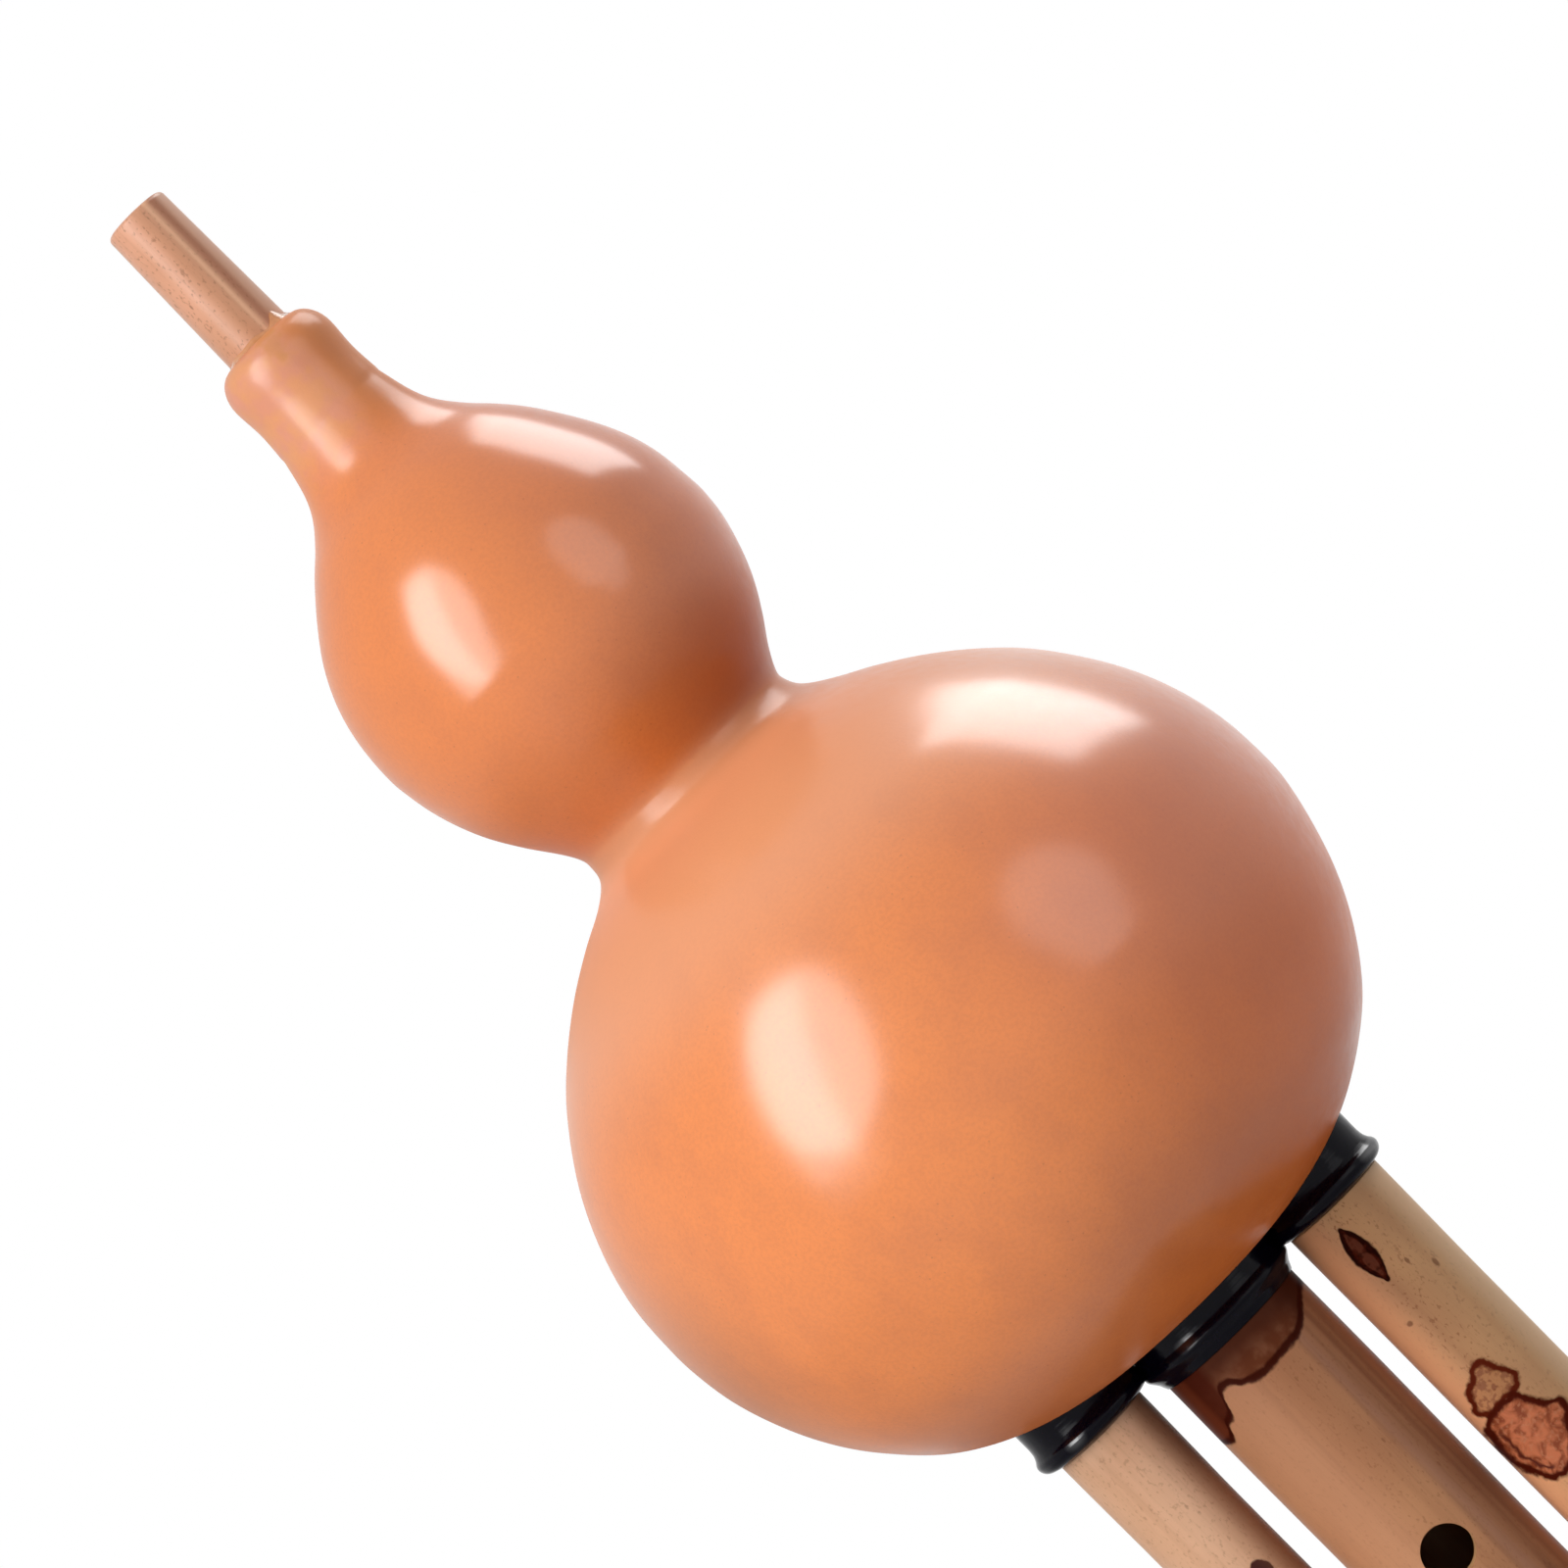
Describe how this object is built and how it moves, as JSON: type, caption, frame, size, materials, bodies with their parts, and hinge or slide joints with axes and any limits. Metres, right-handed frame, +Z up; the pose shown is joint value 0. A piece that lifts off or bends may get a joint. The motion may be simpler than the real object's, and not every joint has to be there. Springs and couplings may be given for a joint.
{
  "type": "hulusi",
  "caption": "Hulusi: a lacquered bottle gourd with a bamboo mouthpiece and parallel bamboo pipes in black collars, a thick finger pipe between thinner drones.",
  "frame": {"origin": "on the gourd's axis in the middle of its waist, where a hanger or a hand holds it up", "axes": "+Z up along the instrument towards the mouthpiece, -Y the side with the finger holes, +X the side of the thicker drone"},
  "size_m": [0.0902, 0.0902, 0.4181],
  "materials": {
    "gourd_skin": "orange-tan natural gourd skin under semi-gloss lacquer",
    "mouth_bamboo": "small bamboo tube, satin",
    "glue": "clear brown glue, glossy",
    "bamboo": "lacquered bamboo with dark natural stains",
    "drone_bamboo": "lacquered bamboo, paler",
    "black_plastic": "glossy black",
    "cork": "cork, matt",
    "brass": "thin rolled brass",
    "wax": "brown beeswax",
    "dark_wood": "dark hardwood, polished"
  },
  "bodies": {
    "gourd": {"gourd_shell": "gourd_skin", "mouthpiece_tube": "mouth_bamboo", "mouthpiece_glue_fillet": "glue", "left_collar": "black_plastic", "main_collar": "black_plastic", "right_collar": "black_plastic"},
    "finger_pipe": {"main_pipe": "bamboo", "main_tenon_cork": "cork", "main_reed_plate": "brass", "main_reed_wax": "wax", "main_top_plug": "dark_wood"},
    "left_drone": {"left_drone_pipe": "drone_bamboo", "left_tenon_cork": "cork", "left_reed_plate": "brass", "left_reed_wax": "wax", "left_top_plug": "dark_wood"},
    "right_drone": {"right_drone_pipe": "drone_bamboo", "right_tenon_cork": "cork", "right_reed_plate": "brass", "right_reed_wax": "wax", "right_top_plug": "dark_wood"},
    "left_stopper": {"left_drone_stopper": "dark_wood"},
    "right_stopper": {"right_drone_stopper": "dark_wood"}
  },
  "joints": [
    {"name": "finger_pipe_pull", "type": "slide", "parent": "gourd", "child": "finger_pipe", "axis": [0, 0, -1], "range_m": [0, 0.056]},
    {"name": "left_drone_pull", "type": "slide", "parent": "gourd", "child": "left_drone", "axis": [0, 0, -1], "range_m": [0, 0.048]},
    {"name": "right_drone_pull", "type": "slide", "parent": "gourd", "child": "right_drone", "axis": [0, 0, -1], "range_m": [0, 0.048]},
    {"name": "left_stopper_pull", "type": "slide", "parent": "left_drone", "child": "left_stopper", "axis": [0, 0, -1], "range_m": [0, 0.0125]},
    {"name": "right_stopper_pull", "type": "slide", "parent": "right_drone", "child": "right_stopper", "axis": [0, 0, -1], "range_m": [0, 0.0125]}
  ]
}
